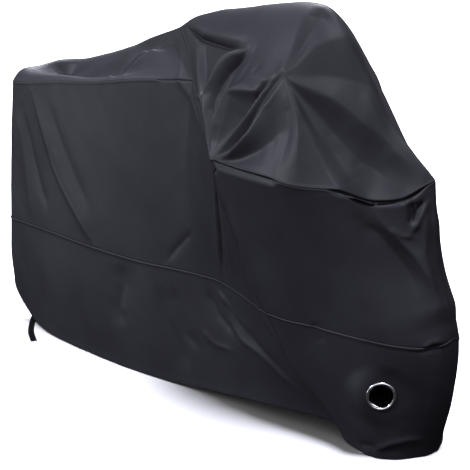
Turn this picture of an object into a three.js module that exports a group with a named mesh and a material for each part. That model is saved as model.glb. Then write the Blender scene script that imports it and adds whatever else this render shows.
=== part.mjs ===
// A fitted motorcycle cover of coated polyester, in the shape in which it hangs.
// It is sewn from a hood over the bars, a long saddle strip, four side panels and four skirts.
// A large metal lock eyelet sits in each front skirt, and a webbing strap trails from the tail hem.
// Millimetres, +X forward, +Z up. The tables measure x from a point under the front of the seat,
// and the finished cover is moved so that its origin is on the ground under its middle.
import * as THREE from 'three';

// Driving dimensions
const CLOTH = 1.5;                   // thickness of the sheet
const SEAM_SETBACK = 0.2;            // each panel stops this far short of its seam line
const HOOD_TIP = [-243, 0, 1263];    // where the hood's rear seam crosses the middle
const HOOD_SEAM_MID = [-128, 70, 1203];
const HOOD_ROWS = 8;                 // rows of the hood's grid, from its crest to each edge
const SADDLE_ROWS = 4;
const SEAM_STEPS = 3;                // steps in each half of the hood's rear seam
const EYELET = {
  at: [892, 171, 229],               // centre of the near eyelet on the cloth
  facing: 46,                        // degrees that its face turns forward from straight out
  hole: 39,
  barrel: 40.2,
  clothHole: 40.8,
  flange: 49,
  washer: 47,
  gap: 0.35,                         // between the metal and each face of the cloth
  domeHeight: 2.6,
  washerHeight: 1.4,
  flat: 52,                          // the cloth is flat out to here
  blend: 118,                        // and has its own shape again from here
  cleared: 64,                       // the grid is cut back to here, and joined to the flat ring
  sides: 24,
};
const STRAP = {
  width: 24,
  thick: 1.6,
  gap: 0.4,                          // between the strap's sewn end and the cloth
  sewn: 22,                          // length of the end that is sewn behind the hem
  from: 3,                           // the hem span, counted in sections, that it hangs behind
  route: [[-925, 214], [-876, 249], [-812, 287], [-762, 321]],   // x and distance out, on the ground
  steps: 14,
};

const NEAR = -1;
const FAR = 1;

// Side sections from the tail to the nose, on the near side. A point is x, distance out, height.
// The far top edge hangs a little unevenly: higher by farRise and further in by farIn.
// steps is the number of grid columns from a section to the next.
const SECTIONS = [
  { at: 'tail centre', steps: SADDLE_ROWS, farRise: 0, farIn: 0, top: [-1100, 0, 985],
    upper: [-1103, 0, 700], mid: [-1103, 0, 420], lower: [-1103, 0, 290], hem: [-1092, 0, 200] },
  { at: 'tail back', steps: 1, farRise: 5, farIn: 0, top: [-1099, 112, 978],
    upper: [-1102, 128, 700], mid: [-1102, 142, 415], lower: [-1102, 150, 285], hem: [-1092, 152, 190] },
  { at: 'tail corner', steps: 2, farRise: 15, farIn: 0, top: [-1084, 146, 966],
    upper: [-1092, 163, 700], mid: [-1093, 179, 408], lower: [-1094, 188, 255], hem: [-1077, 189, 130] },
  { at: 'tail side', steps: 4, farRise: 42, farIn: 0, top: [-985, 152, 975],
    upper: [-985, 178, 700], mid: [-975, 201, 415], lower: [-975, 207, 200], hem: [-968, 195, 20] },
  { at: 'rack', steps: 4, farRise: 40, farIn: 0, top: [-780, 152, 1008],
    upper: [-775, 197, 710], mid: [-765, 232, 430], lower: [-765, 250, 220], hem: [-760, 251, 8] },
  { at: 'seat back', steps: 4, farRise: 20, farIn: 0, top: [-540, 152, 1040],
    upper: [-520, 203, 720], mid: [-490, 242, 431], lower: [-480, 260, 215], hem: [-470, 262, 2] },
  { at: 'seat', steps: 5, farRise: 8, farIn: 0, top: [-300, 152, 1085],
    upper: [-270, 193, 740], mid: [-240, 224, 430], lower: [-225, 244, 215], hem: [-215, 248, 4] },
  { at: 'seat front', steps: 5, farRise: 0, farIn: 0, top: [-22, 142, 1120],
    upper: [-30, 182, 760], mid: [-40, 198, 438], lower: [-20, 212, 220], hem: [0, 219, 10] },
  { at: 'behind bar', steps: 5, farRise: 0, farIn: 0, top: [90, 212, 1042],
    upper: [62, 210, 760], mid: [50, 190, 441], lower: [100, 200, 220], hem: [170, 200, 16] },
  { at: 'crease', steps: 6, farRise: 0, farIn: 0, top: [200, 285, 972],
    upper: [190, 245, 720], mid: [160, 188, 443], lower: [250, 200, 225], hem: [380, 184, 24] },
  { at: 'bar seam', steps: 5, farRise: 0, farIn: 0, top: [256, 322, 918],
    upper: [350, 302, 660], mid: [470, 266, 428], lower: [575, 215, 215], hem: [680, 142, 32] },
  { at: 'bar front', steps: 4, farRise: 0, farIn: 0, top: [385, 335, 915],
    upper: [450, 300, 680], mid: [550, 264, 425], lower: [645, 215, 215], hem: [722, 146, 12] },
  { at: 'fairing', steps: 3, farRise: 0, farIn: 10, top: [513, 328, 910],
    upper: [570, 285, 680], mid: [645, 242, 425], lower: [715, 210, 215], hem: [778, 156, 4] },
  { at: 'fairing front', steps: 3, farRise: 0, farIn: 28, top: [624, 300, 896],
    upper: [680, 258, 680], mid: [742, 226, 423], lower: [790, 208, 215], hem: [835, 164, 0] },
  { at: 'cheek', steps: 3, farRise: 0, farIn: 48, top: [741, 220, 890],
    upper: [785, 205, 670], mid: [845, 202, 420], lower: [862, 190, 215], hem: [882, 152, 0] },
  { at: 'wheel side', steps: 3, farRise: 0, farIn: 44, top: [805, 140, 857],
    upper: [850, 140, 650], mid: [925, 150, 408], lower: [922, 142, 215], hem: [926, 118, 0] },
  { at: 'wheel front', steps: 2, farRise: 0, farIn: 26, top: [871, 70, 862],
    upper: [908, 72, 650], mid: [992, 84, 402], lower: [985, 80, 215], hem: [958, 65, 0] },
  { at: 'nose side', steps: 1, farRise: 0, farIn: 8, top: [922, 20, 905],
    upper: [950, 28, 650], mid: [1028, 34, 412], lower: [1022, 34, 215], hem: [976, 28, 3] },
  { at: 'nose', steps: 0, farRise: 0, farIn: 0, top: [940, 0, 920],
    upper: [962, 0, 650], mid: [1035, 0, 425], lower: [1028, 0, 215], hem: [978, 0, 4] },
];

// Hood sections. The crest is x and height. From it the cloth runs level for the crown's share
// of the way out, and turns down at a knee that is kneeOut of the way out and kneeUp of the way up.
const HOOD = [
  { at: 'rear tip', crest: [-243, 1263], crown: 0.30, kneeOut: 0.75, kneeUp: 0.40 },
  { at: 'rear middle', crest: [-162, 1308], crown: 0.30, kneeOut: 0.75, kneeUp: 0.40 },
  { at: 'seat front', crest: [-40, 1345], crown: 0.30, kneeOut: 0.75, kneeUp: 0.40 },
  { at: 'behind bar', crest: [90, 1370], crown: 0.30, kneeOut: 0.72, kneeUp: 0.40 },
  { at: 'crease', crest: [200, 1391], crown: 0.30, kneeOut: 0.70, kneeUp: 0.42 },
  { at: 'bar seam', crest: [300, 1407], crown: 0.32, kneeOut: 0.70, kneeUp: 0.45 },
  { at: 'bar front', crest: [400, 1420], crown: 0.28, kneeOut: 0.72, kneeUp: 0.45 },
  { at: 'fairing', crest: [480, 1409], crown: 0.24, kneeOut: 0.72, kneeUp: 0.42 },
  { at: 'fairing front', crest: [556, 1348], crown: 0.16, kneeOut: 0.66, kneeUp: 0.36 },
  { at: 'cheek', crest: [660, 1212], crown: 0.12, kneeOut: 0.56, kneeUp: 0.30 },
  { at: 'wheel side', crest: [758, 1076], crown: 0.12, kneeOut: 0.56, kneeUp: 0.28 },
  { at: 'wheel front', crest: [852, 992], crown: 0.16, kneeOut: 0.60, kneeUp: 0.30 },
  { at: 'nose side', crest: [915, 945], crown: 0.25, kneeOut: 0.66, kneeUp: 0.33 },
  { at: 'nose', crest: [940, 920], crown: 0.30, kneeOut: 0.66, kneeUp: 0.33 },
];

// Saddle sections from the tail's top edge forward. The spine is x, distance to the far side, height.
// The near half sags below the straight line from the spine to the near edge.
const SADDLE = [
  { at: 'tail back', spine: [-1100, 0, 985], sag: 0 },
  { at: 'tail corner', spine: [-1062, 50, 996], sag: 8 },
  { at: 'tail side', spine: [-950, 116, 1042], sag: 36 },
  { at: 'rack', spine: [-790, 104, 1083], sag: 52 },
  { at: 'seat back', spine: [-600, 72, 1139], sag: 44 },
  { at: 'seat', spine: [-440, 34, 1197], sag: 26 },
  { at: 'seat front', spine: [-330, 12, 1234], sag: 12 },
  { at: 'rear middle', spine: [-278, 3, 1251], sag: 4 },
  { at: 'rear tip', spine: HOOD_TIP, sag: 0 },
];

// Folds, seen from the side. wide is the half width and high the height, negative for a trough, at
// the first and last point of the fold's line of x and height. The near side's are the photo's.
const FOLDS = [
  { at: 'fan ridge 1', on: NEAR, wide: [16, 30], high: [9, 15],
    line: [[254, 925], [153, 1038], [124, 1151], [200, 1236]] },
  { at: 'fan trough 1', on: NEAR, wide: [14, 28], high: [-10, -15],
    line: [[260, 925], [177, 1065], [199, 1157], [280, 1237]] },
  { at: 'fan ridge 2', on: NEAR, wide: [14, 22], high: [9, 14],
    line: [[264, 927], [199, 1057], [230, 1121], [330, 1147]] },
  { at: 'fan trough 2', on: NEAR, wide: [14, 22], high: [-10, -13],
    line: [[272, 932], [263, 1038], [308, 1094], [382, 1145]] },
  { at: 'fan ridge 3', on: NEAR, wide: [12, 20], high: [8, 12],
    line: [[276, 932], [297, 1037], [346, 1090], [415, 1128]] },
  { at: 'fan trough 3', on: NEAR, wide: [12, 18], high: [-9, -11],
    line: [[280, 935], [327, 994], [380, 1047], [407, 1096]] },
  { at: 'fan ridge 4', on: NEAR, wide: [12, 18], high: [8, 10],
    line: [[288, 934], [366, 978], [410, 1028], [429, 1100]] },
  { at: 'fan trough 4', on: NEAR, wide: [14, 22], high: [-8, -10],
    line: [[317, 939], [409, 974], [468, 1008], [510, 1056]] },
  { at: 'fan wedge', on: NEAR, wide: [18, 34], high: [5, 8],
    line: [[385, 937], [480, 987], [515, 1081], [491, 1168]] },
  { at: 'bar ridge down', on: NEAR, wide: [22, 26], high: [12, 7],
    line: [[466, 1210], [543, 1113], [593, 999], [620, 905]] },
  { at: 'bar trough down', on: NEAR, wide: [20, 22], high: [-8, -6],
    line: [[474, 1181], [527, 1096], [565, 995], [568, 924]] },
  { at: 'bar ridge back', on: NEAR, wide: [20, 24], high: [10, 6],
    line: [[442, 1234], [387, 1178], [286, 1167]] },
  { at: 'bar trough back', on: NEAR, wide: [20, 20], high: [-8, -7],
    line: [[356, 1237], [308, 1218], [273, 1184]] },
  { at: 'bar end', on: NEAR, wide: [34, 34], high: [12, 12],
    line: [[448, 1240], [456, 1238]] },
  { at: 'top trough', on: NEAR, wide: [24, 20], high: [-7, -5],
    line: [[407, 1313], [443, 1365], [465, 1406]] },
  { at: 'hood rear trough', on: NEAR, wide: [16, 26], high: [-5, -9],
    line: [[-150, 1262], [-14, 1251], [199, 1260]] },
  { at: 'hood rear ridge', on: NEAR, wide: [18, 26], high: [5, 8],
    line: [[-170, 1282], [-4, 1282], [228, 1284]] },
  { at: 'hood rear dip', on: NEAR, wide: [22, 26], high: [-6, -9],
    line: [[33, 1082], [48, 1163], [17, 1240]] },
  { at: 'behind seam ridge', on: NEAR, wide: [20, 26], high: [5, 6],
    line: [[-204, 1205], [-60, 1090], [130, 968]] },
  { at: 'front trough', on: NEAR, wide: [26, 16], high: [-9, -3],
    line: [[526, 1186], [631, 1087], [743, 998], [900, 938]] },
  { at: 'front ridge', on: NEAR, wide: [28, 14], high: [8, 2],
    line: [[592, 1202], [698, 1099], [797, 1012], [900, 946]] },
  { at: 'wedge trough', on: NEAR, wide: [22, 22], high: [-6, -6],
    line: [[560, 1110], [610, 1057], [677, 972], [740, 905]] },
  { at: 'crease', on: NEAR, wide: [20, 30], high: [-8, -12],
    line: [[262, 900], [270, 846], [233, 715], [200, 574], [179, 450]] },
  { at: 'crease ridge', on: NEAR, wide: [28, 34], high: [6, 9],
    line: [[222, 900], [196, 760], [150, 590], [120, 450]] },
  { at: 'panel ridge', on: NEAR, wide: [30, 34], high: [6, 7],
    line: [[300, 850], [361, 664], [434, 467], [520, 300]] },
  { at: 'side trough', on: NEAR, wide: [22, 26], high: [-6, -6],
    line: [[308, 777], [348, 679], [367, 586]] },
  { at: 'rear side trough', on: NEAR, wide: [24, 30], high: [-7, -6],
    line: [[20, 593], [-45, 530], [-81, 471]] },
  { at: 'tail ridge', on: NEAR, wide: [38, 44], high: [10, 7],
    line: [[-986, 924], [-826, 755], [-706, 643], [-566, 530], [-462, 433]] },
  { at: 'tail trough', on: NEAR, wide: [40, 44], high: [-8, -5],
    line: [[-930, 935], [-760, 775], [-640, 660], [-520, 560]] },
  { at: 'tail ridge low', on: NEAR, wide: [34, 40], high: [7, 6],
    line: [[-1018, 861], [-915, 640], [-830, 417]] },
  { at: 'saddle ridge', on: NEAR, wide: [26, 24], high: [7, 6],
    line: [[-477, 1055], [-434, 1117], [-358, 1207]] },
  { at: 'saddle ridge front', on: NEAR, wide: [26, 24], high: [7, 6],
    line: [[-360, 1076], [-290, 1148], [-215, 1222]] },
  { at: 'skirt trough 1', on: NEAR, wide: [34, 38], high: [-8, -9],
    line: [[-325, 376], [-317, 224], [-295, 110]] },
  { at: 'skirt trough 2', on: NEAR, wide: [32, 34], high: [-9, -9],
    line: [[-141, 373], [-103, 236], [-45, 154], [33, 57]] },
  { at: 'skirt trough 3', on: NEAR, wide: [28, 30], high: [-8, -9],
    line: [[89, 391], [159, 312], [251, 265]] },
  { at: 'skirt sweep', on: NEAR, wide: [28, 26], high: [-12, -8],
    line: [[178, 385], [279, 311], [390, 256], [561, 167]] },
  { at: 'skirt sweep ridge', on: NEAR, wide: [26, 26], high: [9, 7],
    line: [[232, 420], [330, 345], [450, 290], [600, 196]] },
  { at: 'seam pucker 1', on: NEAR, wide: [18, 20], high: [-5, -5],
    line: [[654, 441], [676, 399], [688, 368]] },
  { at: 'seam pucker 2', on: NEAR, wide: [18, 18], high: [-5, -5],
    line: [[965, 390], [1005, 415]] },
  { at: 'nose wrinkle 1', on: NEAR, wide: [18, 14], high: [-6, -3],
    line: [[835, 837], [874, 772], [905, 711], [938, 666]] },
  { at: 'nose wrinkle 2', on: NEAR, wide: [16, 14], high: [6, 3],
    line: [[842, 872], [880, 800], [915, 742]] },
  { at: 'front lobe ridge', on: NEAR, wide: [20, 18], high: [6, 4],
    line: [[835, 29], [899, 61], [955, 69]] },
  { at: 'front lobe trough', on: NEAR, wide: [18, 18], high: [-6, -5],
    line: [[772, 27], [833, 21], [878, 24]] },
  { at: 'far fan ridge 1', on: FAR, wide: [18, 30], high: [8, 13],
    line: [[262, 925], [170, 1040], [150, 1140], [215, 1220]] },
  { at: 'far fan trough 1', on: FAR, wide: [16, 26], high: [-9, -12],
    line: [[272, 928], [232, 1050], [262, 1122], [350, 1160]] },
  { at: 'far fan ridge 2', on: FAR, wide: [14, 22], high: [8, 10],
    line: [[284, 932], [296, 1030], [352, 1082], [430, 1110]] },
  { at: 'far fan trough 2', on: FAR, wide: [16, 22], high: [-8, -9],
    line: [[300, 935], [372, 985], [430, 1030], [470, 1090]] },
  { at: 'far bar ridge down', on: FAR, wide: [24, 26], high: [11, 6],
    line: [[462, 1205], [535, 1105], [588, 995], [612, 905]] },
  { at: 'far bar end', on: FAR, wide: [34, 34], high: [11, 11],
    line: [[444, 1238], [452, 1236]] },
  { at: 'far front trough', on: FAR, wide: [28, 16], high: [-8, -3],
    line: [[535, 1170], [645, 1070], [760, 980], [900, 938]] },
  { at: 'far crease', on: FAR, wide: [22, 32], high: [-8, -11],
    line: [[262, 900], [262, 840], [228, 700], [196, 560], [172, 440]] },
  { at: 'far panel ridge', on: FAR, wide: [32, 36], high: [6, 6],
    line: [[310, 840], [372, 650], [446, 455], [530, 290]] },
  { at: 'far tail ridge', on: FAR, wide: [40, 46], high: [9, 7],
    line: [[-975, 940], [-800, 770], [-640, 600], [-480, 440]] },
  { at: 'far seat trough', on: FAR, wide: [40, 46], high: [-7, -7],
    line: [[-250, 1000], [-230, 800], [-160, 560]] },
  { at: 'far skirt trough 1', on: FAR, wide: [36, 38], high: [-8, -9],
    line: [[-610, 380], [-560, 230], [-480, 60]] },
  { at: 'far skirt trough 2', on: FAR, wide: [34, 36], high: [-9, -9],
    line: [[-180, 380], [-120, 230], [-20, 60]] },
  { at: 'far skirt sweep', on: FAR, wide: [28, 28], high: [-11, -8],
    line: [[190, 380], [300, 300], [420, 240], [580, 165]] },
];

const MATERIALS = {
  cloth: new THREE.MeshStandardMaterial({ color: 0x2c2e38, roughness: 0.55, metalness: 0 }),
  metal: new THREE.MeshStandardMaterial({ color: 0xc8cace, roughness: 0.2, metalness: 1 }),
  webbing: new THREE.MeshStandardMaterial({ color: 0x121214, roughness: 0.8, metalness: 0 }),
};

const LAST = SECTIONS.length - 1;
const RING = 2 * LAST;               // sections all the way round: near side, nose, far side, tail
const SEAM_END = 7;                  // section where the hood's rear seam meets the saddle's edge
const PANEL_SEAM = 10;               // section of the seam between the rear and front panels
const SADDLE_FIRST = 1;               // the strip starts along the tail's top edge
const SADDLE_LAST = SADDLE_FIRST + SADDLE.length - 1;

function smooth(low, high, value) {
  return THREE.MathUtils.smoothstep(value, low, high);
}

// A smooth curve through the points, as a function of the point's number.
function through(points, closed = false) {
  const curve = new THREE.CatmullRomCurve3(points, closed, 'centripetal');
  const spans = closed ? points.length : points.length - 1;
  return (number) => curve.getPoint(number / spans);
}

function ringPoint(level, index) {
  const far = index > LAST;
  const section = SECTIONS[far ? RING - index : index];
  const [x, out, z] = section[level];
  if (!far) {
    return new THREE.Vector3(x, NEAR * out, z);
  }
  const top = level === 'top';
  return new THREE.Vector3(x, FAR * (out - (top ? section.farIn : 0)), z + (top ? section.farRise : 0));
}

function wholeRing(level) {
  return through(Array.from({ length: RING }, (_, index) => ringPoint(level, index)), true);
}

// The top edge is sharp where the hood's seams turn, and smooth between those corners.
const TOP_CORNERS = [SEAM_END, PANEL_SEAM, RING - PANEL_SEAM, RING - SEAM_END];
const topSpans = TOP_CORNERS.map((from, number) => {
  const to = number + 1 < TOP_CORNERS.length ? TOP_CORNERS[number + 1] : TOP_CORNERS[0] + RING;
  const points = [];
  for (let index = from; index <= to; index += 1) {
    points.push(ringPoint('top', index % RING));
  }
  return { from, to, at: through(points) };
});

function topEdge(s) {
  const place = s >= SEAM_END ? s : s + RING;
  const span = topSpans.find(({ from, to }) => place >= from && place <= to);
  return span.at(place - span.from);
}

const lowerRings = ['upper', 'mid', 'lower', 'hem'].map(wholeRing);

// The walls: s counts the sections round the cover, v the levels down from the top edge.
function wall(s, v) {
  return through([topEdge(s), ...lowerRings.map((ring) => ring(s % RING))])(v);
}

const rearSeamPoints = [HOOD_TIP, HOOD_SEAM_MID, SECTIONS[SEAM_END].top];
const rearSeam = through(rearSeamPoints.map((point) => new THREE.Vector3(...point)));

// The hood's rear seam: t runs from the tip, 0, to the saddle's edge, 2.
function rearSeamAt(t, side) {
  const point = rearSeam(t);
  point.y *= side;
  return point;
}

function hoodEdge(t, side) {
  if (t < 2) {
    return rearSeamAt(t, side);
  }
  const s = t + SEAM_END - 2;
  return topEdge(side === NEAR ? s : RING - s);
}

const hoodCrest = through(HOOD.map(({ crest: [x, z] }) => new THREE.Vector3(x, 0, z)));
const hoodShares = through(HOOD.map((row) => new THREE.Vector3(row.crown, row.kneeOut, row.kneeUp)));

// The hood: t counts its sections, q runs from the far edge, -1, over the crest, 0, to the near edge, 1.
function hood(t, q) {
  const crest = hoodCrest(t);
  const edge = hoodEdge(t, q < 0 ? FAR : NEAR);
  const { x: crown, y: kneeOut, z: kneeUp } = hoodShares(t);
  const level = new THREE.Vector3(crest.x + (edge.x - crest.x) * crown, edge.y * crown, crest.z);
  const knee = new THREE.Vector3(
    crest.x + (edge.x - crest.x) * kneeOut,
    edge.y * kneeOut,
    edge.z + (crest.z - edge.z) * kneeUp,
  );
  return new THREE.CubicBezierCurve3(crest, level, knee, edge).getPoint(Math.abs(q));
}

const saddleSpine = through(SADDLE.map(({ spine }) => new THREE.Vector3(...spine)));
const saddleSag = through(SADDLE.map(({ sag }) => new THREE.Vector3(sag, 0, 0)));

// The saddle strip: s counts its sections as the walls do, and goes on up the hood's rear seam.
// q runs from the far edge, -1, over the spine, 0, to the near edge, 1.
function saddle(s, q) {
  const side = q < 0 ? FAR : NEAR;
  const share = Math.abs(q);
  if (s === SADDLE_FIRST) {
    return topEdge(side === NEAR ? share : RING - share);
  }
  const edge = s <= SEAM_END ? topEdge(side === NEAR ? s : RING - s) : rearSeamAt(SADDLE_LAST - s, side);
  const point = saddleSpine(s - SADDLE_FIRST).lerp(edge, share);
  if (side === NEAR) {
    point.z -= saddleSag(s - SADDLE_FIRST).x * 4 * share * (1 - share);
  }
  return point;
}

// Height of all the folds at a point of the cloth.
function foldHeight({ x, y, z }) {
  let height = 0;
  for (const { on, line, wide, high } of FOLDS) {
    const spans = line.length - 1;
    let nearest = Infinity;
    let along = 0;
    for (let span = 0; span < spans; span += 1) {
      const [x0, z0] = line[span];
      const [x1, z1] = line[span + 1];
      const share = ((x - x0) * (x1 - x0) + (z - z0) * (z1 - z0)) / ((x1 - x0) ** 2 + (z1 - z0) ** 2);
      const held = THREE.MathUtils.clamp(share, 0, 1);
      const distance = Math.hypot(x - x0 - held * (x1 - x0), z - z0 - held * (z1 - z0));
      if (distance < nearest) {
        nearest = distance;
        along = (span + held) / spans;
      }
    }
    const width = THREE.MathUtils.lerp(...wide, along);
    const onThisSide = smooth(-12, 40, on * y);
    height += onThisSide * THREE.MathUtils.lerp(...high, along) * Math.exp(-((nearest / width) ** 2));
  }
  return height;
}

// Every corner of the cover's grid is kept once, so panels that meet share the corners of their seam.
const corners = [];
const cornerNumbers = new Map();

function cornerKey(point) {
  return point.toArray().map((value) => value.toFixed(2)).join();
}

function corner(point) {
  const key = cornerKey(point);
  if (!cornerNumbers.has(key)) {
    cornerNumbers.set(key, corners.length);
    corners.push(point.clone());
  }
  return cornerNumbers.get(key);
}

function grid(columns, rows, at) {
  return columns.map((column) => rows.map((row) => corner(at(column, row))));
}

// Two triangles for each cell, split along its shorter diagonal. Cells that a test names are left open.
function facesOf(cells, leftOpen = () => false) {
  const faces = [];
  for (let i = 0; i + 1 < cells.length; i += 1) {
    for (let j = 0; j + 1 < cells[i].length; j += 1) {
      const [a, b, c, d] = [cells[i][j], cells[i + 1][j], cells[i + 1][j + 1], cells[i][j + 1]];
      if (leftOpen([a, b, c, d])) {
        continue;
      }
      const straight = corners[a].distanceTo(corners[c]) < corners[b].distanceTo(corners[d]);
      const pair = straight ? [[a, d, c], [a, c, b]] : [[a, d, b], [d, c, b]];
      faces.push(...pair.filter(([p, q, r]) => p !== q && q !== r && r !== p));
    }
  }
  return faces;
}

// Directed edges that only one face of a panel uses: its seams, hem and hole.
function openEdges(faces) {
  const edges = new Map();
  for (const [a, b, c] of faces) {
    for (const [from, to] of [[a, b], [b, c], [c, a]]) {
      if (!edges.delete(`${to},${from}`)) {
        edges.set(`${from},${to}`, [from, to]);
      }
    }
  }
  return [...edges.values()];
}

function evenly(from, to, steps) {
  return Array.from({ length: steps + 1 }, (_, step) => from + ((to - from) * step) / steps);
}

function columnsBetween(first, last) {
  const columns = [];
  for (let number = first; number < last; number += 1) {
    columns.push(...evenly(number, number + 1, SECTIONS[number].steps).slice(0, -1));
  }
  return [...columns, last];
}

const SIDE_ROWS = [...evenly(0, 1, 4), ...evenly(1, 2, 4).slice(1)];
const SKIRT_ROWS = [...evenly(2, 3, 4), ...evenly(3, 4, 4).slice(1)];

// The far side's columns run the same way round the ring, so that its faces also point out.
function ringColumns(first, last, side) {
  const columns = columnsBetween(first, last);
  return side === NEAR ? columns : columns.map((s) => RING - s).reverse();
}

function wallPanel(first, last, rows, side) {
  return facesOf(grid(ringColumns(first, last, side), rows, wall));
}

function eyeletFrame(side) {
  const [x, out, z] = EYELET.at;
  const turn = THREE.MathUtils.degToRad(EYELET.facing);
  const normal = new THREE.Vector3(Math.sin(turn), side * Math.cos(turn), 0);
  const up = new THREE.Vector3(0, 0, 1);
  return { centre: new THREE.Vector3(x, side * out, z), normal, up, across: up.clone().cross(normal) };
}

// Place of a corner in the eyelet's own plane.
function inEyelet(frame, point) {
  const offset = point.clone().sub(frame.centre);
  const across = offset.dot(frame.across);
  const up = offset.dot(frame.up);
  return { radius: Math.hypot(across, up), angle: Math.atan2(up, across), depth: offset.dot(frame.normal) };
}

function eyeletCircle(frame, radius) {
  return evenly(-Math.PI, Math.PI, EYELET.sides).slice(0, -1).map((angle) => {
    const point = frame.centre.clone()
      .addScaledVector(frame.across, radius * Math.cos(angle))
      .addScaledVector(frame.up, radius * Math.sin(angle));
    return { angle, number: corner(point) };
  });
}

// Faces between two rings of corners, both sorted by their angle round the eyelet.
function facesBetween(outer, inner) {
  const faces = [];
  const turnOf = (ring, step) => {
    const turns = Math.floor(step / ring.length);
    return ring[step % ring.length].angle + 2 * Math.PI * turns;
  };
  let o = 0;
  let i = 0;
  while (o < outer.length || i < inner.length) {
    const outerHere = outer[o % outer.length].number;
    const innerHere = inner[i % inner.length].number;
    const outerLags = o < outer.length && turnOf(outer, o + 1) <= turnOf(inner, i + 1);
    if (outerLags || i >= inner.length) {
      faces.push([outerHere, outer[(o + 1) % outer.length].number, innerHere]);
      o += 1;
    } else {
      faces.push([inner[(i + 1) % inner.length].number, innerHere, outerHere]);
      i += 1;
    }
  }
  return faces;
}

// The front skirt is flat around its eyelet, with a round hole for the barrel.
function frontSkirt(side) {
  const frame = eyeletFrame(side);
  const cells = grid(ringColumns(PANEL_SEAM, LAST, side), SKIRT_ROWS, wall);
  for (const number of new Set(cells.flat())) {
    const { radius, depth } = inEyelet(frame, corners[number]);
    corners[number].addScaledVector(frame.normal, -depth * (1 - smooth(EYELET.flat, EYELET.blend, radius)));
  }
  const cleared = (number) => inEyelet(frame, corners[number]).radius < EYELET.cleared;
  const faces = facesOf(cells, (cell) => cell.some(cleared));
  const rim = openEdges(faces)
    .map(([from]) => ({ number: from, ...inEyelet(frame, corners[from]) }))
    .filter(({ radius }) => radius < EYELET.blend + EYELET.cleared / 2)
    .sort((a, b) => a.angle - b.angle);
  const flat = eyeletCircle(frame, EYELET.flat);
  const hole = eyeletCircle(frame, EYELET.clothHole);
  return [...faces, ...facesBetween(rim, flat), ...facesBetween(flat, hole)];
}

const HOOD_COLUMNS = [
  ...evenly(0, 1, SEAM_STEPS),
  ...evenly(1, 2, SEAM_STEPS).slice(1),
  ...columnsBetween(SEAM_END, LAST).slice(1).map((s) => s - SEAM_END + 2),
];
const SADDLE_COLUMNS = [
  ...columnsBetween(SADDLE_FIRST, SEAM_END),
  ...evenly(SEAM_END, SEAM_END + 1, SEAM_STEPS).slice(1),
  ...evenly(SEAM_END + 1, SADDLE_LAST, SEAM_STEPS).slice(1),
];

const PANELS = {
  hood: facesOf(grid(HOOD_COLUMNS, evenly(-1, 1, 2 * HOOD_ROWS), hood)),
  saddle_strip: facesOf(grid(SADDLE_COLUMNS, evenly(-1, 1, 2 * SADDLE_ROWS), saddle)),
  rear_side_near: wallPanel(0, PANEL_SEAM, SIDE_ROWS, NEAR),
  rear_side_far: wallPanel(0, PANEL_SEAM, SIDE_ROWS, FAR),
  front_side_near: wallPanel(PANEL_SEAM, LAST, SIDE_ROWS, NEAR),
  front_side_far: wallPanel(PANEL_SEAM, LAST, SIDE_ROWS, FAR),
  rear_skirt_near: wallPanel(0, PANEL_SEAM, SKIRT_ROWS, NEAR),
  rear_skirt_far: wallPanel(0, PANEL_SEAM, SKIRT_ROWS, FAR),
  front_skirt_near: frontSkirt(NEAR),
  front_skirt_far: frontSkirt(FAR),
};

function faceNormal([a, b, c]) {
  const triangle = new THREE.Triangle(corners[a], corners[b], corners[c]);
  return triangle.getNormal(new THREE.Vector3()).multiplyScalar(triangle.getArea());
}

// The cloth's outward direction at each corner, shared by the panels that meet there.
function outwardDirections() {
  const directions = corners.map(() => new THREE.Vector3());
  for (const face of Object.values(PANELS).flat()) {
    const normal = faceNormal(face);
    face.forEach((number) => directions[number].add(normal));
  }
  return directions.map((direction) => direction.normalize());
}

// Share of the folds' height that the cloth keeps near an eyelet.
function keptByEyelet(point) {
  const { radius } = inEyelet(eyeletFrame(point.y < 0 ? NEAR : FAR), point);
  return smooth(EYELET.flat, EYELET.blend, radius);
}

const smoothOutward = outwardDirections();
corners.forEach((point, number) => {
  point.addScaledVector(smoothOutward[number], foldHeight(point) * keptByEyelet(point));
});
const outward = outwardDirections();

// How far, and which way, each corner of a panel's edge moves in from the seam line.
function setbacks(faces) {
  const inward = new Map();
  const owner = new Map();
  for (const face of faces) {
    face.forEach((from, turn) => owner.set(`${from},${face[(turn + 1) % 3]}`, face));
  }
  for (const [from, to] of openEdges(faces)) {
    const along = corners[to].clone().sub(corners[from]);
    const direction = faceNormal(owner.get(`${from},${to}`)).cross(along).normalize();
    for (const number of [from, to]) {
      inward.set(number, (inward.get(number) ?? new THREE.Vector3()).add(direction));
    }
  }
  for (const direction of inward.values()) {
    const spread = Math.max(direction.lengthSq() / 2, 0.5);
    direction.multiplyScalar(SEAM_SETBACK / spread);
  }
  return inward;
}

function solid(positions, indices) {
  const geometry = new THREE.BufferGeometry().setFromPoints(positions);
  geometry.setIndex(indices.flat());
  geometry.computeVertexNormals();
  return geometry;
}

// A panel becomes a closed solid: an outer face, an inner face and a wall along its open edges.
function clothSolid(faces) {
  const moved = setbacks(faces);
  const used = [...new Set(faces.flat())];
  const place = new Map(used.map((number, index) => [number, index]));
  const skin = (share) => used.map((number) => corners[number].clone()
    .add(moved.get(number) ?? new THREE.Vector3())
    .addScaledVector(outward[number], share * CLOTH));
  const inner = (number) => place.get(number) + used.length;
  const outer = (number) => place.get(number);
  const indices = [
    ...faces.map((face) => face.map(outer)),
    ...faces.map(([a, b, c]) => [inner(c), inner(b), inner(a)]),
    ...openEdges(faces).flatMap(([a, b]) => [[outer(b), outer(a), inner(a)], [outer(b), inner(a), inner(b)]]),
  ];
  return solid([...skin(0.5), ...skin(-0.5)], indices);
}

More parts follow.
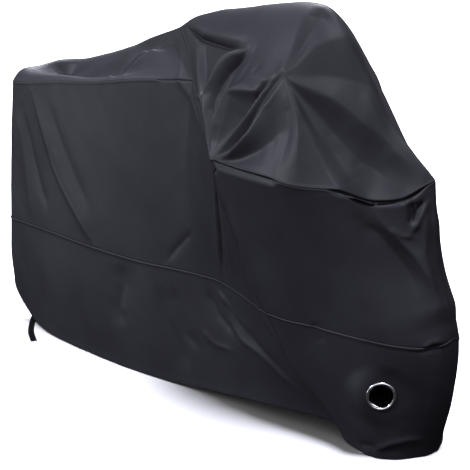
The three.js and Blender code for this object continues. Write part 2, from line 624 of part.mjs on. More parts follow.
// A spool-shaped ring: a domed flange outside, a barrel through the cloth and a flat washer inside.
function eyeletSolid() {
  const face = CLOTH / 2 + EYELET.gap;
  const { hole, barrel, flange, washer, domeHeight, washerHeight, sides } = EYELET;
  const section = [
    [hole, -face - washerHeight],
    [washer, -face - washerHeight],
    [washer, -face],
    [barrel, -face],
    [barrel, face],
    [flange, face],
    [flange - 1.2, face + domeHeight * 0.55],
    [(hole + flange) / 2, face + domeHeight],
    [hole + 1, face + domeHeight * 0.7],
    [hole, face],
    [hole, -face - washerHeight],
  ];
  return new THREE.LatheGeometry(section.map(([radius, height]) => new THREE.Vector2(radius, height)), sides);
}

function addEyelet(cover, name, side) {
  const { centre, normal } = eyeletFrame(side);
  const ring = new THREE.Mesh(eyeletSolid(), MATERIALS.metal);
  ring.name = name;
  ring.position.copy(centre);
  ring.quaternion.setFromUnitVectors(new THREE.Vector3(0, 1, 0), normal);
  cover.add(ring);
}

// The webbing strap: sewn behind the hem, down under it and out along the ground.
function strapSolid() {
  const ends = columnsBetween(STRAP.from, STRAP.from + 1).slice(0, 2).map(
    (s) => cornerNumbers.get(cornerKey(wall(s, SKIRT_ROWS.at(-1)))),
  );
  const face = PANELS.rear_skirt_near.find((numbers) => ends.every((number) => numbers.includes(number)));
  const inward = faceNormal(face).normalize().negate();
  const across = corners[ends[1]].clone().sub(corners[ends[0]]).normalize();
  const up = across.clone().cross(inward).normalize();
  const standOff = CLOTH / 2 + STRAP.gap + STRAP.thick / 2;
  const hem = corners[ends[0]].clone().lerp(corners[ends[1]], 0.5).addScaledVector(inward, standOff);
  const ground = STRAP.route.map(([x, out]) => new THREE.Vector3(x, NEAR * out, STRAP.thick / 2));
  const under = hem.clone().addScaledVector(inward, STRAP.thick * 2).setZ(STRAP.thick * 2);
  const path = through([hem.clone().addScaledVector(up, STRAP.sewn), hem, under, ...ground]);
  const end = ground.length + 2;
  const points = [];
  for (const number of evenly(0, end, STRAP.steps)) {
    const here = path(number);
    here.z = Math.max(here.z, STRAP.thick / 2);
    const along = path(Math.min(number + 0.05, end)).sub(path(Math.max(number - 0.05, 0))).normalize();
    const level = new THREE.Vector3(along.y, -along.x, 0).normalize();
    level.multiplyScalar(Math.sign(level.dot(across)));
    const wide = across.clone().lerp(level, smooth(1, 3, number)).normalize();
    const thick = wide.clone().cross(along).normalize();
    for (const [w, t] of [[-1, -1], [1, -1], [1, 1], [-1, 1]]) {
      points.push(here.clone()
        .addScaledVector(wide, (w * STRAP.width) / 2)
        .addScaledVector(thick, (t * STRAP.thick) / 2));
    }
  }
  const indices = [[0, 1, 2], [0, 2, 3]];
  for (let ring = 0; ring < STRAP.steps; ring += 1) {
    for (let edge = 0; edge < 4; edge += 1) {
      const a = ring * 4 + edge;
      const b = ring * 4 + ((edge + 1) % 4);
      indices.push([a, a + 4, b + 4], [a, b + 4, b]);
    }
  }
  const last = STRAP.steps * 4;
  indices.push([last, last + 2, last + 1], [last, last + 3, last + 2]);
  return solid(points, indices);
}

function addPiece(cover, name, geometry, material) {
  const mesh = new THREE.Mesh(geometry, material);
  mesh.name = name;
  cover.add(mesh);
}

function build() {
  const cover = new THREE.Group();
  for (const [name, faces] of Object.entries(PANELS)) {
    addPiece(cover, name, clothSolid(faces), MATERIALS.cloth);
  }
  addEyelet(cover, 'lock_eyelet_near', NEAR);
  addEyelet(cover, 'lock_eyelet_far', FAR);
  addPiece(cover, 'hem_strap', strapSolid(), MATERIALS.webbing);
  const box = new THREE.Box3().setFromObject(cover);
  const middle = box.getCenter(new THREE.Vector3());
  cover.position.set(-middle.x, -middle.y, -box.min.z);
  return cover;
}

export default build();
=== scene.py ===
"""A fitted motorcycle cover of charcoal coated polyester, in the shape in which it hangs.

The scene is in metres: +X forward, +Y to the far side, +Z up, with the origin on the ground.
The cloth's tables are in millimetres and measure x from a point under the front of the seat.
"""
import math

import bmesh
import bpy
import numpy as np
from mathutils import Matrix, Vector, noise


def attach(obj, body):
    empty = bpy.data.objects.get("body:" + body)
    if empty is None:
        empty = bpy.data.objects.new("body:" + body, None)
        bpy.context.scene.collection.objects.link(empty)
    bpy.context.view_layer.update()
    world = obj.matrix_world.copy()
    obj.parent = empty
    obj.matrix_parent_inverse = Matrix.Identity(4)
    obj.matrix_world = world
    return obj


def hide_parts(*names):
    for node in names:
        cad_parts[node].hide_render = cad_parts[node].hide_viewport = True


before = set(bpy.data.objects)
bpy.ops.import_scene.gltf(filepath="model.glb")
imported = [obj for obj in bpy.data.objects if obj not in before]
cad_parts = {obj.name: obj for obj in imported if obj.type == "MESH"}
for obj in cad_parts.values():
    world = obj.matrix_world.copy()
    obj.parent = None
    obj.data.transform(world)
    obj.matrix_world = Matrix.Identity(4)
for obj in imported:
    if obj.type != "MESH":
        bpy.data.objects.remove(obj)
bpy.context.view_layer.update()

# The cloth's shape. The ten panels are cut on shared seam lines and hang as one skin,
# so the lines come first: sections round the walls, over the hood and along the saddle strip.

NEAR, FAR = -1, 1
SIDES = (("near", NEAR), ("far", FAR))
PATTERN_SHIFT = (32.631, 0.553, 0.377)   # from the tables' frame to the part's
CELL = 7.0                               # about the size of a square of the cloth's grid

# Wall sections from the tail to the nose, near side: the far top edge's rise and how far it is in,
# then the top edge, two levels, the middle seam ... each as x, distance out, height
SECTIONS = (
    # far rise, far in, top edge, upper, middle seam, lower, hem
    (0, 0, (-1100, 0, 985), (-1103, 0, 700), (-1103, 0, 420), (-1103, 0, 290), (-1092, 0, 200)),
    (18, 0, (-1099, 112, 978), (-1102, 128, 700), (-1102, 142, 415), (-1102, 150, 285), (-1092, 152, 190)),
    (46, 0, (-1084, 146, 966), (-1092, 163, 700), (-1093, 179, 408), (-1094, 188, 255), (-1077, 189, 130)),
    (42, 0, (-985, 152, 975), (-985, 178, 700), (-975, 201, 415), (-975, 207, 200), (-968, 195, 20)),
    (40, 0, (-780, 152, 1008), (-775, 197, 710), (-765, 232, 430), (-765, 250, 220), (-760, 251, 8)),
    (20, 0, (-540, 152, 1040), (-520, 203, 720), (-490, 242, 431), (-480, 260, 215), (-470, 262, 2)),
    (8, 0, (-300, 152, 1085), (-270, 193, 740), (-240, 224, 430), (-225, 244, 215), (-215, 248, 4)),
    (0, 0, (-22, 142, 1120), (-30, 182, 760), (-40, 198, 438), (-20, 212, 220), (0, 219, 10)),
    (0, 0, (90, 212, 1042), (62, 210, 760), (50, 190, 441), (100, 200, 220), (170, 200, 26)),
    (0, 0, (200, 285, 972), (190, 245, 720), (160, 188, 443), (250, 200, 225), (380, 184, 46)),
    (0, 0, (256, 322, 918), (350, 302, 660), (470, 266, 428), (575, 215, 215), (680, 142, 50)),
    (0, 0, (385, 335, 915), (450, 300, 680), (550, 264, 425), (645, 215, 215), (722, 146, 12)),
    (0, 10, (513, 328, 910), (570, 285, 680), (645, 242, 425), (715, 210, 215), (778, 156, 4)),
    (0, 28, (624, 300, 896), (680, 258, 680), (742, 226, 423), (790, 208, 215), (835, 164, 0)),
    (0, 48, (741, 220, 890), (785, 205, 670), (845, 202, 420), (862, 190, 215), (882, 152, 0)),
    (0, 44, (805, 140, 857), (850, 140, 650), (925, 150, 408), (922, 142, 215), (926, 118, 0)),
    (0, 26, (871, 70, 862), (908, 72, 650), (992, 84, 402), (985, 80, 215), (958, 65, 0)),
    (0, 8, (922, 20, 905), (950, 28, 650), (1028, 34, 412), (1022, 34, 215), (976, 28, 3)),
    (0, 0, (940, 0, 920), (962, 0, 650), (1035, 0, 425), (1028, 0, 215), (978, 0, 4)),
)
LAST = len(SECTIONS) - 1
ROUND = 2 * LAST            # sections all the way round: near side, nose, far side, tail
SEAM_END = 7                # section where the hood's rear seam meets the saddle strip's edge
PANEL_SEAM = 10             # section of the seam between the rear and the front panels
TOP_CORNERS = (7, 10, 26, 29)

# Hood sections from its rear tip to the nose: the crest's x and height, the share of the way out
# that stays level, and the knee's share of the way out and up
HOOD = (
    (-243, 1263, 0.30, 0.75, 0.40), (-162, 1308, 0.30, 0.75, 0.40), (-40, 1345, 0.30, 0.75, 0.40),
    (90, 1370, 0.30, 0.72, 0.40), (200, 1391, 0.30, 0.70, 0.42), (300, 1407, 0.32, 0.70, 0.45),
    (400, 1420, 0.28, 0.72, 0.45), (480, 1409, 0.24, 0.72, 0.42), (556, 1348, 0.16, 0.66, 0.36),
    (660, 1212, 0.12, 0.56, 0.30), (758, 1076, 0.12, 0.56, 0.28), (852, 992, 0.16, 0.60, 0.30),
    (915, 945, 0.25, 0.66, 0.33), (940, 920, 0.30, 0.66, 0.33),
)
REAR_SEAM = ((-243, 0, 1263), (-128, 70, 1203), (-22, 142, 1120))

# Saddle strip sections from the tail's top edge forward: the spine, then how far the near half
# stands above (or lies below) a straight line to the edge, at the shares of the way out given first
STRIP_SHARES = (0, 0.12, 0.25, 0.38, 0.5, 0.62, 0.75, 0.88, 1)
STRIP_WIDTH = 250           # about how wide the near half is
SADDLE = (
    ((-1100, 0, 985), (0, 0, 0, 0, 0, 0, 0)),
    ((-1062, 50, 1025), (4, 9, 13, 19, 25, 29, 22)),
    ((-950, 116, 1042), (-7, -48, -50, -40, -20, 14, 19)),
    ((-790, 104, 1083), (-2, -30, -62, -64, -46, -8, 8)),
    ((-600, 72, 1139), (4, -10, -38, -52, -48, -26, 0)),
    ((-440, 34, 1197), (-24, -22, 2, 4, 0, -4, -3)),
    ((-330, 12, 1234), (4, 0, -4, -6, -5, -3, -1)),
    ((-278, 3, 1251), (0, 0, 0, 0, 0, 0, 0)),
    ((-243, 0, 1263), (0, 0, 0, 0, 0, 0, 0)),
)
SADDLE_LAST = len(SADDLE)   # the strip starts at section 1, the tail's top edge


def through(points, number, closed=False):
    """A smooth curve through the points, read at each point number."""
    points = np.asarray(points, float)
    count = len(points)
    number = np.asarray(number, float)
    if closed:
        start = np.floor(number).astype(int)
        share = number - start
        a, b, c, d = (points[(start + step) % count] for step in (-1, 0, 1, 2))
    else:
        start = np.clip(np.floor(number).astype(int), 0, count - 2)
        share = number - start
        ends = [[2 * points[0] - points[1]], points, [2 * points[-1] - points[-2]]]
        longer = np.concatenate(ends)
        a, b, c, d = (longer[start + step] for step in range(4))
    first, middle, last = (
        np.sum((q - p) ** 2, -1, keepdims=True) ** 0.25 for p, q in ((a, b), (b, c), (c, d))
    )
    middle = np.where(middle < 1e-4, 1, middle)
    first = np.where(first < 1e-4, middle, first)
    last = np.where(last < 1e-4, middle, last)
    share = share.reshape(share.shape + (1,) * (b.ndim - share.ndim))
    leaving = ((b - a) / first - (c - a) / (first + middle) + (c - b) / middle) * middle
    arriving = ((c - b) / middle - (d - b) / (middle + last) + (d - c) / last) * middle
    square = -3 * b + 3 * c - 2 * leaving - arriving
    cube = 2 * b - 2 * c + leaving + arriving
    return b + leaving * share + square * share**2 + cube * share**3


def wall_rings():
    """The five levels of the walls, at every section of the round: near side out, far side back."""
    near = [[(x, NEAR * out, z) for x, out, z in row[2:]] for row in SECTIONS]
    far = []
    for row in SECTIONS[-2:0:-1]:
        levels = [[x, FAR * out, z] for x, out, z in row[2:]]
        levels[0][1] -= row[1]
        levels[0][2] += row[0]
        if 0 < levels[4][0] < 800:
            levels[4][2] = min(levels[4][2], 4)     # the far hem touches the ground all along
        far.append(levels)
    return np.array(near + far, float)


RINGS = wall_rings()


def top_edge(s):
    """The top edge is sharp at its four corners, and smooth between them."""
    s = np.asarray(s, float) % ROUND
    edge = np.empty((len(s), 3))
    corners = [*TOP_CORNERS, TOP_CORNERS[0] + ROUND]
    for start, end in zip(corners[:-1], corners[1:]):
        place = np.where(s >= start, s, s + ROUND)
        here = (place >= start) & (place <= end)
        edge[here] = through(RINGS[np.arange(start, end + 1) % ROUND, 0], place[here] - start)
    return edge


def wall(s, v):
    """The walls: s counts the sections round the cover, v the levels down from the top edge."""
    levels = through(RINGS, s, closed=True)
    levels[:, 0] = top_edge(s)
    levels = np.swapaxes(levels, 0, 1)
    return np.stack([through(levels, np.array([level]))[0] for level in v], 1)


def rear_seam(t, side):
    return through([(x, out, z) for x, out, z in REAR_SEAM], t) * (1, side, 1)


def hood_edge(t, side):
    edge = np.empty((len(t), 3))
    rear = t < 2
    edge[rear] = rear_seam(t[rear], side)
    s = t[~rear] + SEAM_END - 2
    edge[~rear] = top_edge(s if side == NEAR else ROUND - s)
    return edge


def hood(t, q):
    """The hood: t counts its sections, q runs from the near edge, 1, over the crest to the far edge, -1."""
    shape = np.array(HOOD, float)
    crest = through(np.stack([shape[:, 0], 0 * shape[:, 0], shape[:, 1]], 1), t)[:, None]
    shares = through(shape[:, 2:], t)[:, None]
    halves = []
    for side, q_here in ((NEAR, q[q >= 0]), (FAR, -q[q < 0])):
        edge = hood_edge(t, side)[:, None]
        share = q_here[None, :, None]
        level, knee = edge.copy(), edge.copy()
        level[..., :2] = crest[..., :2] + (edge - crest)[..., :2] * shares[..., 0:1]
        level[..., 2] = crest[..., 2]
        knee[..., :2] = crest[..., :2] + (edge - crest)[..., :2] * shares[..., 1:2]
        knee[..., 2] = edge[..., 2] + (crest - edge)[..., 2] * shares[..., 2]
        rest = 1 - share
        halves.append(
            rest**3 * crest + 3 * rest**2 * share * level + 3 * rest * share**2 * knee + share**3 * edge
        )
    return np.concatenate(halves, 1)


def saddle(s, q):
    """The saddle strip: s counts its sections as the walls do, and goes on up the hood's rear seam."""
    spine = through([place for place, _ in SADDLE], s - 1)[:, None]
    runs = np.array(STRIP_SHARES) * STRIP_WIDTH
    lifts = np.array([list(zip(runs, (0, *row, 0))) for _, row in SADDLE], float)
    lifts = np.swapaxes(through(lifts, s - 1), 0, 1)
    halves = []
    for side, q_here in ((NEAR, q[q >= 0]), (FAR, -q[q < 0])):
        edge = np.empty((len(s), 3))
        low = s <= SEAM_END
        edge[low] = top_edge(s[low] if side == NEAR else ROUND - s[low])
        edge[~low] = rear_seam(SADDLE_LAST - s[~low], side)
        share = q_here[None, :, None]
        half = spine * (1 - share) + edge[:, None] * share
        if side == NEAR:
            numbers = np.interp(q_here, STRIP_SHARES, range(len(STRIP_SHARES)))
            half[..., 2] += np.stack([through(lifts, np.array([n]))[0][:, 1] for n in numbers], 1)
        half[0] = top_edge(q_here if side == NEAR else ROUND - q_here)
        halves.append(half)
    return np.concatenate(halves, 1)


def section_steps(number):
    """Grid steps from a section to the next, so that no square is much larger than a cell."""
    gap = np.linalg.norm(RINGS[number + 1] - RINGS[number], axis=-1).max()
    return max(2, math.ceil(gap / CELL))


def columns_between(first, last):
    parts = [np.linspace(n, n + 1, section_steps(n) + 1)[:-1] for n in range(first, last)]
    return np.concatenate([*parts, [last]])


def ring_columns(first, last, side):
    columns = columns_between(first, last)
    return columns if side == NEAR else (ROUND - columns)[::-1]


BESIDE_SEAM = np.array([1.6, 3.2, 5.0, 7.5])     # the closer rows' distances from a seam
SEAM_ZONE = 12                                   # from here on the rows are a cell apart


def graded(start, end, length, cell):
    """Parameters from start to end along length millimetres, with closer ones beside each seam."""
    count = math.ceil((length - 2 * SEAM_ZONE) / cell) + 1
    middle = np.linspace(SEAM_ZONE, length - SEAM_ZONE, count)
    places = np.concatenate([[0], BESIDE_SEAM, middle, length - BESIDE_SEAM[::-1], [length]])
    return start + (end - start) * places / length


# Rows run across a panel, columns along it. The hood's far half, which is not seen, is coarser.
SIDE_ROWS = graded(2, 0, 545, CELL)
SKIRT_ROWS = graded(4, 2, 425, CELL)
HOOD_ROWS = np.concatenate([graded(1, 0, 560, 5.4)[:-5], -graded(0, 1, 560, 12)[4:]])
SADDLE_ROWS = np.concatenate([np.linspace(1, 0, 41)[:-1], -np.linspace(0, 1, 16)])
SEAM_COLUMNS = np.concatenate([np.linspace(0, 1, 22)[:-1], np.linspace(1, 2, 22)])
HOOD_COLUMNS = np.concatenate([SEAM_COLUMNS, columns_between(SEAM_END, LAST)[1:] - SEAM_END + 2])
SADDLE_COLUMNS = np.concatenate([columns_between(1, SEAM_END), (SADDLE_LAST - SEAM_COLUMNS)[::-1][1:]])

panels = {
    "hood": hood(HOOD_COLUMNS, HOOD_ROWS),
    "saddle_strip": saddle(SADDLE_COLUMNS, SADDLE_ROWS),
}
for word, side in SIDES:
    panels[f"rear_side_{word}"] = wall(ring_columns(0, PANEL_SEAM, side), SIDE_ROWS)
    panels[f"front_side_{word}"] = wall(ring_columns(PANEL_SEAM, LAST, side), SIDE_ROWS)
    panels[f"rear_skirt_{word}"] = wall(ring_columns(0, PANEL_SEAM, side), SKIRT_ROWS)
    panels[f"front_skirt_{word}"] = wall(ring_columns(PANEL_SEAM, LAST, side), SKIRT_ROWS)


def outward():
    """The skin's outward direction at every point, one and the same for panels that share a seam."""
    places, directions = [], []
    for points in panels.values():
        across = points[1:, 1:] - points[:-1, :-1]
        face = np.cross(across, points[:-1, 1:] - points[1:, :-1])
        total = np.zeros_like(points)
        for i in (0, 1):
            for j in (0, 1):
                total[i : i + len(face), j : j + face.shape[1]] += face
        places.append(points.reshape(-1, 3))
        directions.append(total.reshape(-1, 3))
    _, owner = np.unique(np.rint(np.concatenate(places) * 50), axis=0, return_inverse=True)
    owner = owner.reshape(-1)
    directions = np.concatenate(directions)
    shared = np.stack([np.bincount(owner, directions[:, k]) for k in range(3)], 1)[owner]
    shared /= np.linalg.norm(shared, axis=1, keepdims=True)
    found, start = {}, 0
    for name, points in panels.items():
        count = points.shape[0] * points.shape[1]
        found[name] = shared[start : start + count].reshape(points.shape)
        start += count
    return found


# The folds. The cloth is drawn tight over the bar end and gathers where the hood's rear seam, its
# lower seam and the panel seam meet, so pleats fan out from there. Longer folds hang down the walls.

# Pleat lines outwards from where the gathers start, rear to front, as x, height and how far out
GATHER_AT = (256, 918)
GATHERS = (
    ((200, 972, 0), (90, 1042, 0), (-22, 1120, 0), (-128, 1203, 0)),
    ((170, 1008, 2), (110, 1060, 5), (50, 1115, 6), (-10, 1180, 5), (-60, 1225, 3)),
    ((190, 1000, 1), (110, 1085, -2), (74, 1110, -3), (41, 1162, -4), (-9, 1235, -3)),
    ((203, 975, 4), (153, 1038, 10), (124, 1088, 13), (138, 1134, 14), (152, 1172, 14), (173, 1207, 13),
     (207, 1236, 10), (259, 1260, 3)),
    ((221, 979, -3), (204, 1033, -6), (193, 1074, -7), (199, 1118, -6), (211, 1161, -5), (230, 1195, -4),
     (259, 1230, -3), (292, 1253, -1)),
    ((228, 969, 1), (230, 1024, 6), (237, 1078, 9), (247, 1121, 11), (276, 1138, 11), (322, 1146, 8),
     (375, 1150, 3)),
    ((264, 937, -3), (283, 981, -7), (313, 1027, -11), (337, 1063, -13), (362, 1090, -12), (378, 1120, -9),
     (390, 1147, -4)),
    ((273, 942, 0), (311, 994, 2), (340, 1030, 3), (361, 1058, 4), (381, 1088, 5), (393, 1117, 5),
     (404, 1149, 4), (426, 1181, 2)),
    ((280, 930, -2), (317, 956, -6), (350, 986, -9), (375, 1011, -10), (387, 1039, -9), (395, 1064, -7),
     (403, 1099, -6), (415, 1136, -5), (439, 1182, -2)),
    ((308, 934, 3), (349, 951, 7), (370, 978, 9), (394, 1008, 9), (410, 1030, 8), (418, 1063, 6),
     (425, 1093, 4), (444, 1126, 3), (457, 1172, 1)),
    ((341, 936, -2), (385, 947, -6), (421, 969, -9), (460, 994, -10), (494, 1025, -8), (507, 1047, -5)),
    ((340, 922, 0), (502, 915, 0), (640, 900, 0)),
)
# Lines in the same form outwards from the bar end, which stands out most, over the hood's front
BAR_END_AT = (466, 1210)
BAR_END_LINES = (
    ((445, 1297, 0), (429, 1384, 0)),
    ((478, 1291, -5), (474, 1390, -7)),
    ((523, 1303, 2), (568, 1330, 2)),
    ((584, 1217, 0), (674, 1185, 0)),
    ((523, 1188, 4), (609, 1149, 8), (696, 1079, 9), (803, 991, 7), (920, 932, 1)),
    ((555, 1142, -8), (654, 1057, -13), (745, 969, -12), (856, 884, -3)),
    ((587, 1092, -8), (677, 1000, -11), (749, 921, -8), (797, 863, -3)),
    ((513, 1163, 1), (568, 1089, 1), (630, 1005, 1), (687, 940, 1), (735, 893, 1)),
    ((513, 1150, 3), (550, 1097, 5), (578, 1037, 6), (594, 991, 5), (615, 917, 2)),
    ((490, 1151, -2), (515, 1112, -5), (540, 1052, -5), (547, 996, -3), (548, 937, -1)),
    ((440, 1130, 0), (450, 1060, 0), (475, 985, 0), (500, 917, 0)),
)
# Both fans, with how many times further out than their lines say they stand on the near side.
# On the far side, which is not seen, they are shallow, and turned a few degrees.
FANS = ((GATHER_AT, GATHERS, 2.3), (BAR_END_AT, BAR_END_LINES, 1.9))
FAR_FAN_SCALE = 0.5
FAR_FAN_LEAN = 4.0
FAN_FADE = 45               # how far past their last points the lines run out

# Single folds: side, half width and height at the first and last point, then the line's x and height
BOTH = 0
FOLDS = (
    # the hood: over the bar end, then between it and the rear seam
    (NEAR, (34, 34), (11, 11), ((452, 1226), (462, 1222))),
    (NEAR, (6, 8), (-16, -24), ((-185, 1272), (-50, 1252), (32, 1251), (124, 1251), (222, 1257))),
    (NEAR, (12, 9), (-17, -9), ((272, 1262), (232, 1219), (199, 1182), (177, 1140), (167, 1095), (176, 1050),
                                (198, 985))),
    (NEAR, (16, 20), (6, 12), ((-150, 1286), (-30, 1274), (77, 1276), (199, 1277), (279, 1271))),
    (NEAR, (9, 9), (-4, -4), ((297, 1228), (277, 1200), (260, 1162), (254, 1137))),
    (NEAR, (10, 10), (-6, -8), ((429, 1183), (404, 1168), (389, 1140), (381, 1115))),
    (NEAR, (8, 8), (-4, -4), ((356, 1233), (329, 1212), (324, 1189))),
    (NEAR, (12, 12), (5, 7), ((276, 1176), (350, 1184), (408, 1190), (436, 1213))),
    (NEAR, (8, 8), (5, 4), ((400, 1102), (429, 1110), (447, 1125), (450, 1144), (454, 1171))),
    (NEAR, (9, 9), (6, 6), ((49, 1079), (81, 1080), (99, 1100))),
    (NEAR, (15, 15), (5, 6), ((-204, 1205), (-60, 1090), (130, 968))),
    # the saddle strip: two ridges drawn up to the hood's tip
    (NEAR, (11, 9), (9, 8), ((-499, 1051), (-485, 1085), (-418, 1142), (-345, 1195), (-245, 1258))),
    (NEAR, (10, 8), (7, 6), ((-425, 1071), (-409, 1108), (-353, 1162), (-277, 1212), (-226, 1237))),
    # the rear sides: the sharp crease under the gathers, then the long fold from the tail's corner
    (NEAR, (7, 8), (-15, -9), ((266, 925), (258, 848), (258, 805), (240, 751), (234, 696), (220, 635),
                              (208, 576), (195, 514), (187, 463))),
    (NEAR, (16, 22), (5, 6), ((240, 890), (238, 805), (215, 700), (190, 590), (165, 470))),
    (NEAR, (20, 26), (4, 6), ((290, 850), (292, 740), (280, 620), (270, 500))),
    (NEAR, (14, 16), (-6, -6), ((33, 594), (-20, 551), (-63, 506), (-106, 451))),
    (NEAR, (9, 10), (5, 7), ((-951, 949), (-891, 863), (-826, 773), (-765, 687), (-705, 625),
                             (-632, 566), (-564, 511), (-507, 466), (-470, 436))),
    (NEAR, (34, 38), (7, 5), ((-938, 945), (-800, 770), (-700, 655), (-560, 535), (-460, 450))),
    (NEAR, (22, 26), (-8, -6), ((-1002, 862), (-931, 713), (-842, 574), (-774, 508))),
    (NEAR, (24, 30), (-6, -4), ((-850, 935), (-720, 775), (-610, 660), (-500, 560))),
    (NEAR, (34, 40), (7, 6), ((-1040, 861), (-960, 640), (-900, 417))),
    # the front sides: one long fold beside the seam, and short ones gathered under the nose
    (NEAR, (12, 14), (6, 6), ((320, 800), (384, 661), (410, 570), (432, 497), (471, 432), (493, 378))),
    (NEAR, (16, 18), (-6, -6), ((300, 830), (352, 679), (376, 586), (400, 490))),
    (NEAR, (9, 9), (-11, -9), ((892, 858), (895, 812), (896, 780))),
    (NEAR, (8, 8), (9, 8), ((872, 872), (882, 823), (893, 775))),
    (NEAR, (8, 8), (11, 9), ((930, 860), (923, 832), (913, 793), (899, 750))),
    (NEAR, (9, 8), (-12, -9), ((922, 862), (905, 819), (893, 782))),
    (NEAR, (12, 12), (8, 13), ((800, 845), (840, 777), (877, 728), (917, 681), (951, 618), (996, 527))),
    (NEAR, (17, 21), (-9, -13), ((790, 800), (836, 746), (870, 694), (905, 639), (960, 539))),
    (NEAR, (8, 9), (5, 5), ((848, 769), (878, 746), (907, 742))),
    (NEAR, (9, 9), (6, 6), ((927, 848), (931, 784), (935, 687), (956, 624), (991, 545))),
    (NEAR, (10, 12), (-8, -5), ((940, 895), (946, 812), (951, 732), (971, 613), (1011, 508))),
    (BOTH, (80, 80), (9, 19), ((925, 850), (946, 760), (968, 640), (1000, 530), (1025, 460))),
    # the skirts
    (NEAR, (34, 38), (-8, -9), ((-328, 408), (-306, 323), (-325, 224), (-289, 154))),
    (NEAR, (32, 34), (-8, -9), ((-153, 373), (-89, 236), (-27, 154), (33, 57))),
    (NEAR, (22, 26), (-7, -8), ((-77, 373), (-33, 290), (3, 204), (77, 158))),
    (NEAR, (20, 22), (-7, -8), ((89, 391), (159, 312), (251, 265))),
    (NEAR, (22, 20), (-11, -7), ((178, 400), (279, 318), (390, 256), (561, 160))),
    (NEAR, (13, 13), (8, 6), ((220, 310), (295, 259), (374, 241), (436, 214), (494, 176), (553, 135))),
    (NEAR, (13, 13), (8, 6), ((136, 404), (212, 366), (282, 326), (338, 286))),
    (NEAR, (12, 12), (5, 5), ((76, 238), (149, 203), (253, 204))),
    (NEAR, (13, 16), (6, 6), ((391, 489), (437, 410), (494, 344), (551, 273), (599, 200), (646, 131))),
    (NEAR, (18, 20), (-5, -5), ((654, 441), (676, 399), (688, 368))),
    (NEAR, (8, 8), (7, 6), ((988, 401), (1003, 417), (1027, 423))),
    (NEAR, (8, 8), (-5, -5), ((980, 386), (1002, 398), (1027, 404))),
    (NEAR, (11, 11), (6, 5), ((852, 21), (910, 58), (953, 72), (980, 67))),
    (NEAR, (14, 14), (-7, -6), ((800, 30), (852, 40), (878, 34))),
    # the far side, which is not seen
    (FAR, (34, 34), (8, 8), ((444, 1238), (452, 1236))),
    (FAR, (22, 32), (-8, -11), ((262, 900), (262, 840), (228, 700), (196, 560), (172, 440))),
    (FAR, (32, 36), (6, 6), ((310, 840), (372, 650), (446, 455), (530, 290))),
    (FAR, (40, 46), (9, 7), ((-975, 940), (-800, 770), (-640, 600), (-480, 440))),
    (FAR, (40, 46), (-7, -7), ((-250, 1000), (-230, 800), (-160, 560))),
    (FAR, (36, 38), (-8, -9), ((-610, 380), (-560, 230), (-480, 60))),
    (FAR, (34, 36), (-9, -9), ((-180, 380), (-120, 230), (-20, 60))),
    (FAR, (28, 28), (-11, -8), ((190, 380), (300, 300), (420, 240), (580, 165))),
)


SIDE_FADE = (-12, 40)       # how far out from the middle a side's folds start, and are whole
FOLD_ENDS = (0.22, 0.75)    # a fold is whole between these shares of its line
FOLD_END_SHARE = 0.2        # and this share of it is left at its ends
CREST_FALL = 1.35           # how steeply a fold falls off beside its line
CREST_ROUND = 0.06          # how round it is along its line
CREST_TOP = 0.245


def smooth(low, high, value):
    """Rises softly from 0 at low to 1 at high."""
    share = np.clip((value - low) / (high - low), 0, 1)
    return share * share * (3 - 2 * share)


def window(start, end, outside, inside, value):
    """1 between start and end, falling softly to 0 over the given distances about both."""
    opens = smooth(start - outside, start + inside, value)
    return opens * (1 - smooth(end - inside, end + outside, value))


def pleat_height(x, z, centre, lines, scale, lean=0.0):
    """The pleats are flat between their lines, with a soft turn along each line."""
    radius = np.hypot(x - centre[0], z - centre[1])
    turn = np.degrees(np.arctan2(z - centre[1], x - centre[0]))
    turns, heights = [], []
    for line in lines:
        line = np.array(line, float)
        away = np.hypot(line[:, 0] - centre[0], line[:, 1] - centre[1])
        angle = np.degrees(np.arctan2(line[:, 1] - centre[1], line[:, 0] - centre[0]))
        inner = 0 < len(turns) < len(lines) - 1
        turns.append(np.interp(radius, away, angle) + (lean if inner else 0))
        run_out = away[-1] + FAN_FADE
        heights.append(np.interp(radius, [0, *away, run_out], [0, *line[:, 2], 0]) * scale)
    turns = np.minimum.accumulate(np.array(turns), axis=0)
    height = np.zeros_like(x)
    for k in range(len(lines) - 1):
        here = (turn <= turns[k]) & (turn > turns[k + 1])
        share = (turns[k] - turn) / np.maximum(turns[k] - turns[k + 1], 1e-6)
        share = 0.7 * share + 0.3 * smooth(0, 1, share)
        height[here] = (heights[k] + (heights[k + 1] - heights[k]) * share)[here]
    return height


